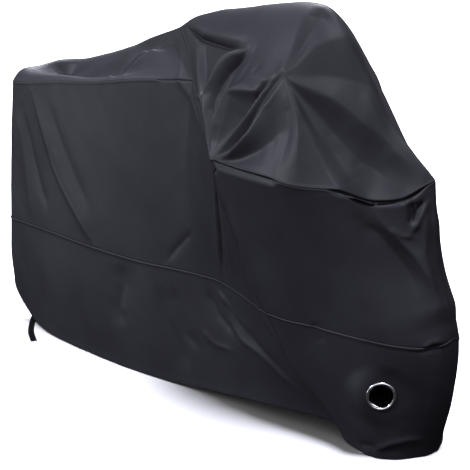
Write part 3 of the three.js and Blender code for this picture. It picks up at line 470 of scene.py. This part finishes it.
def fold_height(points):
    """How far out the pleats and the single folds stand at every point."""
    x, y, z = points[..., 0], points[..., 1], points[..., 2]
    on_side = {NEAR: smooth(*SIDE_FADE, -y), FAR: smooth(*SIDE_FADE, y), BOTH: 1}
    height = np.zeros_like(x)
    for centre, lines, scale in FANS:
        height += pleat_height(x, z, centre, lines, scale) * on_side[NEAR]
        height += pleat_height(x, z, centre, lines, FAR_FAN_SCALE, FAR_FAN_LEAN) * on_side[FAR]
    for side, wide, high, line in FOLDS:
        spans = len(line) - 1
        nearest = np.full(x.shape, np.inf)
        along = np.zeros(x.shape)
        for span, ((x0, z0), (x1, z1)) in enumerate(zip(line[:-1], line[1:])):
            share = ((x - x0) * (x1 - x0) + (z - z0) * (z1 - z0)) / ((x1 - x0) ** 2 + (z1 - z0) ** 2)
            share = np.clip(share, 0, 1)
            distance = np.hypot(x - x0 - share * (x1 - x0), z - z0 - share * (z1 - z0))
            along = np.where(distance < nearest, (span + share) / spans, along)
            nearest = np.minimum(nearest, distance)
        reach = nearest / (wide[0] + (wide[1] - wide[0]) * along)
        crest = np.exp(-CREST_FALL * (np.sqrt(reach**2 + CREST_ROUND) - CREST_TOP))
        if spans > 1:
            whole = smooth(0, FOLD_ENDS[0], along) * (1 - smooth(FOLD_ENDS[1], 1, along))
            crest *= FOLD_END_SHARE + (1 - FOLD_END_SHARE) * whole
        height += on_side[side] * (high[0] + (high[1] - high[0]) * along) * crest
    return height


# The lock eyelet's place is needed here: the cloth is drawn flat round it, and has a round hole.
EYELET_AT = (892, 171, 229)
EYELET_FACING = 46          # degrees that its face turns forward from straight out
EYELET_HOLE = 40.8          # radius of the hole in the cloth
EYELET_FLAT = (52, 118)     # the cloth is flat out to the first radius, and free from the second


def eyelet_axes(side):
    """The eyelet's centre, and its directions out of the cloth, up, and across."""
    x, out, z = EYELET_AT
    turn = math.radians(EYELET_FACING)
    facing = np.array([math.sin(turn), side * math.cos(turn), 0])
    up = np.array([0.0, 0.0, 1.0])
    return np.array([x, side * out, z], float), facing, up, np.cross(up, facing)


def off_eyelet(points, side):
    """0 where the eyelet holds the cloth flat, and 1 where the cloth is free of it."""
    centre, _, up, across = eyelet_axes(side)
    return smooth(*EYELET_FLAT, np.hypot((points - centre) @ up, (points - centre) @ across))


def freedom(name, points):
    """How freely each point of the panel may crease."""
    if not name.startswith("front_skirt"):
        return 1
    return off_eyelet(points, NEAR if name.endswith("near") else FAR)


for word, side in SIDES:
    points = panels[f"front_skirt_{word}"]
    centre, facing, _, _ = eyelet_axes(side)
    depth = (points - centre) @ facing
    held = 1 - off_eyelet(points, side)
    points -= (depth * held)[..., None] * facing

smooth_outward = outward()
for name, points in panels.items():
    height = fold_height(points) * freedom(name, points)
    panels[name] = points + smooth_outward[name] * height[..., None]

# Fine wrinkles and seams lie on top of the folds.

WRINKLES = ((170.0, 2.6), (70.0, 1.3), (26.0, 0.45))     # spacing and height, both in millimetres
HANG = (0.55, -0.83)                                     # the way the cloth hangs, as x and height
HANG_STRETCH = 0.38                                      # wrinkles are longer along it than across
SIDEWAYS_STRETCH = 0.8


def wrinkle_height(points):
    """Soft unevenness, drawn out along the way the cloth hangs: down and forward on the walls."""
    x, y, z = points.reshape(-1, 3).T
    along = x * HANG[0] + z * HANG[1]
    across = x * -HANG[1] + z * HANG[0]
    drawn_out = np.stack([across, along * HANG_STRETCH, y * SIDEWAYS_STRETCH], 1)
    height = np.zeros(len(x))
    for spacing, high in WRINKLES:
        height += high * np.array([noise.noise(Vector(place)) for place in drawn_out / spacing])
    return height.reshape(points.shape[:2])


def edge_distances(points):
    """How far each point is from the panel's first and last column, and first and last row."""
    run_columns = np.zeros(points.shape[:2])
    run_columns[1:] = np.cumsum(np.linalg.norm(np.diff(points, axis=0), axis=-1), 0)
    run_rows = np.zeros(points.shape[:2])
    run_rows[:, 1:] = np.cumsum(np.linalg.norm(np.diff(points, axis=1), axis=-1), 1)
    return run_columns, run_columns[-1:] - run_columns, run_rows, run_rows[:, -1:] - run_rows


# How far every seam line is drawn in, and where it is drawn in deeper: from x to x, between two
# heights, and how much. There the hood's edge or the next panel stands out over the line.
SEAM_DEPTH = 0.5
DEEP_SEAMS = (
    ((262, 560), (880, 950), 14.0), ((715, 925), (835, 935), 11.0), ((-200, 245), (925, 1235), 4.2),
)
FAR_SEAM_SHARE = 0.5


def seam_depth(points):
    x, z = points[..., 0], points[..., 2]
    depth = np.full(x.shape, SEAM_DEPTH)
    for (rear, front), (low, high), more in DEEP_SEAMS:
        depth += more * window(rear, front, 12, 25, x) * window(low, high, 4, 4, z)
    return depth * np.where(points[..., 1] < 0, 1, FAR_SEAM_SHARE)


# Profiles beside an edge, in millimetres from it. The welt of a seam rises over the first range and
# ends over the second, beside a furrow that is wider where it is deep. The hem ends over its range,
# and its stitches lie in a groove: its place, half width and depth.
WELT_RISE = (0, 3.0)
WELT_END = (6.5, 9.5)
FURROW_WIDTH = 2.4
HEM_END = (18, 21)
HEM_HEIGHT = 0.7
HEM_STITCHES = (17, 1.6, 0.6)


def welt(distance, high, depth, widening):
    """A felled seam: drawn in along its line, and standing up beside it over the turned edges."""
    raised = high * smooth(*WELT_RISE, distance) * (1 - smooth(*WELT_END, distance))
    return raised - depth * (1 - smooth(0, FURROW_WIDTH + widening * depth, distance))


def hem(distance):
    """The hem is doubled over and stitched down."""
    place, half, deep = HEM_STITCHES
    doubled = HEM_HEIGHT * (1 - smooth(*HEM_END, distance))
    return doubled - deep * np.exp(-(((distance - place) / half) ** 2))


# Height of the welt beside each panel's edges: first and last column, then first and last row.
# None is a hem.
EDGES = {
    "hood": (0.0, 0.0, 1.6, 1.6),
    "saddle_strip": (1.0, 0.0, 1.0, 1.0),
    "rear_side_near": (1.2, 0.5, 0.0, 0.6),
    "front_side_near": (1.4, 1.0, 0.0, 0.6),
    "rear_skirt_near": (1.2, 0.5, None, 2.4),
    "front_skirt_near": (1.4, 1.0, None, 2.4),
}
for name in [name for name in EDGES if name.endswith("near")]:
    first, last, *rows = EDGES[name]
    EDGES[name.replace("near", "far")] = (last, first, *rows)


def seam_height(name, points):
    """The profile of whichever edge of the panel is nearest."""
    distances = edge_distances(points)
    depth = seam_depth(points)
    widening = 0.3 if name == "hood" else 1.7
    profiles = [
        hem(distance) if high is None else welt(distance, high, depth, widening)
        for distance, high in zip(distances, EDGES[name])
    ]
    nearest = np.argmin(distances, axis=0)
    nearest = np.where(np.minimum(distances[0], distances[1]) < 0.01, 0, nearest)
    return np.choose(nearest, profiles)


folded_outward = outward()
for name, points in panels.items():
    height = wrinkle_height(points) * freedom(name, points) + seam_height(name, points)
    panels[name] = points + folded_outward[name] * height[..., None]


# The cloth itself is a plain-woven polyester with a thin coating on its inner face. It is charcoal
# with a cold tint, and has a satin gloss that breaks up over the weave.

CLOTH_THICKNESS = 0.0006


def set_inputs(node, values):
    for socket, value in values.items():
        node.inputs[socket].default_value = value


def new_material(name, values):
    """A material with its shader, which has the given values, and its nodes and links."""
    material = bpy.data.materials.new(name)
    material.use_nodes = True
    nodes, links = material.node_tree.nodes, material.node_tree.links
    shader = nodes["Principled BSDF"]
    set_inputs(shader, values)
    return material, shader, nodes, links


def yarn_bands(nodes, direction, values):
    wave = nodes.new("ShaderNodeTexWave")
    wave.wave_type = "BANDS"
    wave.bands_direction = direction
    set_inputs(wave, values)
    return wave


def cloth_material():
    material, shader, nodes, links = new_material(
        "coated_polyester", {"Roughness": 0.5, "Specular IOR Level": 0.09}
    )
    run = nodes.new("ShaderNodeUVMap")
    run.uv_map = "weave"
    place = nodes.new("ShaderNodeTexCoord")

    mottle = nodes.new("ShaderNodeTexNoise")
    set_inputs(mottle, {"Scale": 7.0, "Detail": 4.0})
    links.new(place.outputs["Object"], mottle.inputs["Vector"])
    shade = nodes.new("ShaderNodeValToRGB")
    dark, light = shade.color_ramp.elements
    dark.position, dark.color = 0.3, (0.0110, 0.0108, 0.0134, 1)
    light.position, light.color = 0.7, (0.0136, 0.0134, 0.0166, 1)
    links.new(mottle.outputs["Fac"], shade.inputs["Fac"])
    links.new(shade.outputs["Color"], shader.inputs["Base Color"])

    crumple = nodes.new("ShaderNodeTexNoise")
    set_inputs(crumple, {"Scale": 90.0, "Detail": 3.0})
    links.new(run.outputs["UV"], crumple.inputs["Vector"])
    soft_bump = nodes.new("ShaderNodeBump")
    set_inputs(soft_bump, {"Strength": 0.25, "Distance": 0.0012})
    links.new(crumple.outputs["Fac"], soft_bump.inputs["Height"])

    weave = nodes.new("ShaderNodeMath")
    weave.operation = "MULTIPLY"
    for number, direction in enumerate("XY"):
        threads = yarn_bands(nodes, direction, {"Scale": 420.0, "Distortion": 0.6})
        links.new(run.outputs["UV"], threads.inputs["Vector"])
        links.new(threads.outputs["Fac"], weave.inputs[number])
    weave_bump = nodes.new("ShaderNodeBump")
    set_inputs(weave_bump, {"Strength": 0.2, "Distance": 0.00015})
    links.new(weave.outputs["Value"], weave_bump.inputs["Height"])
    links.new(soft_bump.outputs["Normal"], weave_bump.inputs["Normal"])
    links.new(weave_bump.outputs["Normal"], shader.inputs["Normal"])
    return material


coated_polyester = cloth_material()


def put_in(name, data):
    """A new object in the scene."""
    thing = bpy.data.objects.new(name, data)
    bpy.context.scene.collection.objects.link(thing)
    return thing


def grid_places(along, count):
    """Which column or row of the grid each vertex is in, from its place along the grid."""
    low, high = along.min(), along.max()
    return np.rint((along - low) / (high - low) * (count - 1)).astype(int)


def lay_panel(name, points, material, thickness, offset, hole=None):
    """A grid with the panel's columns and rows over its points. Its UV map is its run in metres."""
    columns, rows = points.shape[:2]
    shell = bmesh.new()
    bmesh.ops.create_grid(shell, x_segments=columns - 1, y_segments=rows - 1, size=1.0)
    mesh = bpy.data.meshes.new(name)
    shell.to_mesh(mesh)
    shell.free()
    flat = np.empty(len(mesh.vertices) * 3)
    mesh.vertices.foreach_get("co", flat)
    column, row = grid_places(flat[0::3], columns), grid_places(flat[1::3], rows)
    run_columns, _, run_rows, _ = edge_distances(points)
    placed = (points[column, row] + PATTERN_SHIFT) / 1000
    mesh.vertices.foreach_set("co", placed.astype(np.float32).ravel())
    corner = np.empty(len(mesh.loops), int)
    mesh.loops.foreach_get("vertex_index", corner)
    run = np.stack([run_columns[column, row], run_rows[column, row]], 1)[corner] / 1000
    mesh.uv_layers.new(name="weave").data.foreach_set("uv", run.astype(np.float32).ravel())
    if hole is not None:
        cut_hole(mesh, hole)
    mesh.shade_smooth()
    mesh.materials.append(material)
    piece = put_in(name, mesh)
    solid = piece.modifiers.new("thickness", "SOLIDIFY")
    solid.thickness = thickness
    solid.offset = offset
    return piece


HOLE_LEVEL = 0.03           # how far from the eyelet's plane the cloth may be that its hole cuts
HOLE_RIM = 0.046            # the cut edge lies within this of the axis
HOLE_EASE = 0.4             # millimetres between the hole and the ring's neck


def cut_hole(mesh, side):
    """Opens the round hole for the eyelet, and draws the cut edge onto its circle."""
    centre, facing, _, _ = eyelet_axes(side)
    middle, facing = Vector((centre + PATTERN_SHIFT) / 1000), Vector(facing)
    shell = bmesh.new()
    shell.from_mesh(mesh)

    def from_axis(place):
        """The way out from the eyelet's axis, and whether the place is near its plane."""
        away = place - middle
        level = away.dot(facing)
        return away - facing * level, abs(level) < HOLE_LEVEL

    inside = []
    for face in shell.faces:
        away, level = from_axis(face.calc_center_median())
        if level and away.length < EYELET_HOLE / 1000:
            inside.append(face)
    bmesh.ops.delete(shell, geom=inside, context="FACES")
    for vertex in shell.verts:
        away, level = from_axis(vertex.co)
        if level and away.length < HOLE_RIM:
            clear = max(away.length, (EYELET_HOLE + HOLE_EASE) / 1000)
            vertex.co += away.normalized() * (clear - away.length)
    shell.to_mesh(mesh)
    shell.free()


def finish_sheet(name, hole=None):
    piece = lay_panel(f"{name}_cloth", panels[name], coated_polyester, CLOTH_THICKNESS, -1, hole)
    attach(piece, "root")
    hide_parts(name)


# The hood is one piece over the bars and the nose, sewn to all the other panels round its edge.
finish_sheet("hood")

# The saddle strip runs from the tail's top edge up to the hood's rear seam.
finish_sheet("saddle_strip")

# The side panels hang from the hood and the saddle strip, down to the middle seam.
for word, _ in SIDES:
    finish_sheet(f"rear_side_{word}")
    finish_sheet(f"front_side_{word}")

# The skirts hang from the side panels, and end in a doubled hem close to the ground.
for word, side in SIDES:
    finish_sheet(f"rear_skirt_{word}")
    finish_sheet(f"front_skirt_{word}", hole=side)

# The lock eyelets are large spool-shaped metal rings, pressed together through the cloth.
# A domed flange shows outside, and a flat washer holds it inside.

EYELET_SECTION = (
    # radius and height in millimetres, from the washer's inner rim round to the flange
    (39.0, -2.5), (46.6, -2.5), (47.0, -2.2), (47.0, -1.1), (40.2, -1.1), (40.2, 1.1), (48.4, 1.1),
    (49.0, 1.5), (48.8, 2.2), (47.6, 3.0), (45.8, 3.5), (43.8, 3.7), (41.8, 3.5), (40.2, 2.9), (39.2, 1.9),
    (39.0, 1.0),
)
EYELET_STEPS = 96           # round its axis


def bright_metal():
    material, shader, nodes, links = new_material(
        "plated_steel", {"Base Color": (0.78, 0.79, 0.81, 1), "Metallic": 1.0}
    )
    place = nodes.new("ShaderNodeTexCoord")
    wear = nodes.new("ShaderNodeTexNoise")
    set_inputs(wear, {"Scale": 260.0, "Detail": 5.0})
    links.new(place.outputs["Object"], wear.inputs["Vector"])
    gloss = nodes.new("ShaderNodeMapRange")
    set_inputs(gloss, {"To Min": 0.12, "To Max": 0.3})
    links.new(wear.outputs["Fac"], gloss.inputs["Value"])
    links.new(gloss.outputs["Result"], shader.inputs["Roughness"])
    return material


plated_steel = bright_metal()
for word, side in SIDES:
    centre, facing, up, across = eyelet_axes(side)
    turn = Matrix(np.stack([across, up, facing], 1)).to_4x4()
    place = Matrix.Translation(Vector((centre + PATTERN_SHIFT) / 1000)) @ turn
    ring = bmesh.new()
    section = [ring.verts.new((radius / 1000, 0, height / 1000)) for radius, height in EYELET_SECTION]
    rim = [ring.edges.new(pair) for pair in zip(section, section[1:] + section[:1])]
    bmesh.ops.spin(
        ring, geom=section + rim, cent=(0, 0, 0), axis=(0, 0, 1), angle=2 * math.pi,
        steps=EYELET_STEPS, use_merge=True, use_normal_flip=False,
    )
    bmesh.ops.remove_doubles(ring, verts=ring.verts, dist=1e-6)
    bmesh.ops.recalc_face_normals(ring, faces=ring.faces)
    bmesh.ops.transform(ring, matrix=place, verts=ring.verts)
    mesh = bpy.data.meshes.new(f"lock_eyelet_{word}_ring")
    ring.to_mesh(mesh)
    ring.free()
    mesh.shade_smooth()
    mesh.materials.append(plated_steel)
    eyelet = put_in(mesh.name, mesh)
    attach(eyelet, "root")
    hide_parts(f"lock_eyelet_{word}")

# The hem strap is black woven webbing, sewn behind the tail's hem. It trails out on the ground.

STRAP_PATH = (
    (-950, -189, 38), (-949, -192, 16), (-934, -208, 2), (-884, -252, 1.2), (-831, -293, 1.2),
    (-786, -320, 1.2), (-744, -343, 1.2),
)
STRAP_WIDTH = 24.0
STRAP_THICKNESS = 0.0016
STRAP_STEPS = 90
STRAP_ACROSS = 7            # points across its width
STRAP_LYING = 1.2           # height of its middle where it lies on the ground
STRAP_SEWN = (0.96, -0.28, 0.0)     # the way its width runs where it is sewn, along the hem
STRAP_TWIST = (0.8, 2.4)    # between these points of the path its width turns level across the path


def webbing_material():
    """Black yarn in cross ribs."""
    material, shader, nodes, links = new_material(
        "black_webbing",
        {"Base Color": (0.0022, 0.0022, 0.0025, 1), "Roughness": 0.75, "Specular IOR Level": 0.05},
    )
    run = nodes.new("ShaderNodeUVMap")
    run.uv_map = "weave"
    ribs = yarn_bands(nodes, "X", {"Scale": 180.0, "Distortion": 0.3})
    links.new(run.outputs["UV"], ribs.inputs["Vector"])
    bump = nodes.new("ShaderNodeBump")
    set_inputs(bump, {"Strength": 0.5, "Distance": 0.0004})
    links.new(ribs.outputs["Fac"], bump.inputs["Height"])
    links.new(bump.outputs["Normal"], shader.inputs["Normal"])
    return material


def strap_points():
    """The ribbon's points along and across it, and its length in metres."""
    number = np.linspace(0, len(STRAP_PATH) - 1, STRAP_STEPS + 1)
    path = through(STRAP_PATH, number)
    path[:, 2] = np.maximum(path[:, 2], STRAP_LYING)
    along = np.gradient(path, axis=0)
    level = np.stack([along[:, 1], -along[:, 0], np.zeros(len(path))], 1)
    level /= np.linalg.norm(level, axis=1, keepdims=True)
    sewn = np.array(STRAP_SEWN)
    sewn = sewn * np.sign(level[-1] @ sewn)
    share = smooth(*STRAP_TWIST, number)[:, None]
    wide = level * share + sewn * (1 - share)
    wide /= np.linalg.norm(wide, axis=1, keepdims=True)
    across = np.linspace(-0.5, 0.5, STRAP_ACROSS) * STRAP_WIDTH
    points = path[:, None] + wide[:, None] * across[None, :, None]
    return points, np.linalg.norm(np.diff(path, axis=0), axis=1).sum() / 1000


ribbon, strap_length = strap_points()
strap = lay_panel("hem_strap_webbing", ribbon, webbing_material(), STRAP_THICKNESS, 0)
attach(strap, "root")
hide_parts("hem_strap")

# A plain pale floor, under wide and soft studio lights. It is lit past white, so that only its
# deepest shade shows, and it throws no light back up, as a floor further off would not. A dark card
# close under it keeps the room's light from coming up through it.
FLOOR_HALF = 30
CARD_DEPTH = 0.01


def lay_floor(name, depth, shade):
    mesh = bpy.data.meshes.new(name)
    plane = bmesh.new()
    bmesh.ops.create_grid(plane, x_segments=1, y_segments=1, size=FLOOR_HALF)
    bmesh.ops.translate(plane, vec=(0, 0, -depth), verts=plane.verts)
    plane.to_mesh(mesh)
    plane.free()
    paint = new_material(name, {"Base Color": (shade, shade, shade, 1), "Roughness": 0.9})[0]
    mesh.materials.append(paint)
    sheet = put_in(name, mesh)
    return sheet


floor = lay_floor("pale_floor", 0, 0.85)
floor.visible_diffuse = False
floor.visible_glossy = False
lay_floor("dark_card", CARD_DEPTH, 0.02)

world = bpy.data.worlds.new("studio")
world.use_nodes = True
set_inputs(world.node_tree.nodes["Background"], {"Color": (1, 1, 1, 1), "Strength": 0.25})
bpy.context.scene.world = world

# Each light's name, where it comes from as degrees round from the nose and degrees up, how wide it
# is in degrees, and its power. Those named side don't light the floor, which would grey the shade
# under the hem.
SOFT_LIGHTS = (
    ("behind", 134, 48, 12, 8.0),
    ("near_side", 240, 38, 10, 5.2),
    ("above", 350, 74, 12, 4.2),
    ("tail_side", 218, 4, 24, 1.4),
    ("nose_side", 322, 16, 50, 0.9),
)
LIGHT_COLOUR = (0.88, 0.89, 1.0)
all_but_floor = bpy.data.collections.new("all_but_floor")
all_but_floor.objects.link(floor)
all_but_floor.collection_objects[0].light_linking.link_state = "EXCLUDE"
for name, round_from_nose, up, wide, power in SOFT_LIGHTS:
    lamp = bpy.data.lights.new(name, "SUN")
    lamp.energy = power
    lamp.angle = math.radians(wide)
    lamp.color = LIGHT_COLOUR
    light = put_in(name, lamp)
    light.rotation_euler = (math.radians(90 - up), 0, math.radians(round_from_nose + 90))
    if name.endswith("side"):
        light.light_linking.receiver_collection = all_but_floor

# The camera looks from the photograph's side, height and distance, with its angle of view.
camera_data = bpy.data.cameras.new("camera")
camera_data.lens = 110.35
camera_data.sensor_width = 36
camera = put_in("camera", camera_data)
camera.location = (3.6523, -3.4524, 2.1013)
camera.rotation_euler = (math.radians(72.59), 0, math.radians(46.01))
bpy.context.scene.camera = camera
bpy.context.scene.view_settings.view_transform = "Standard"
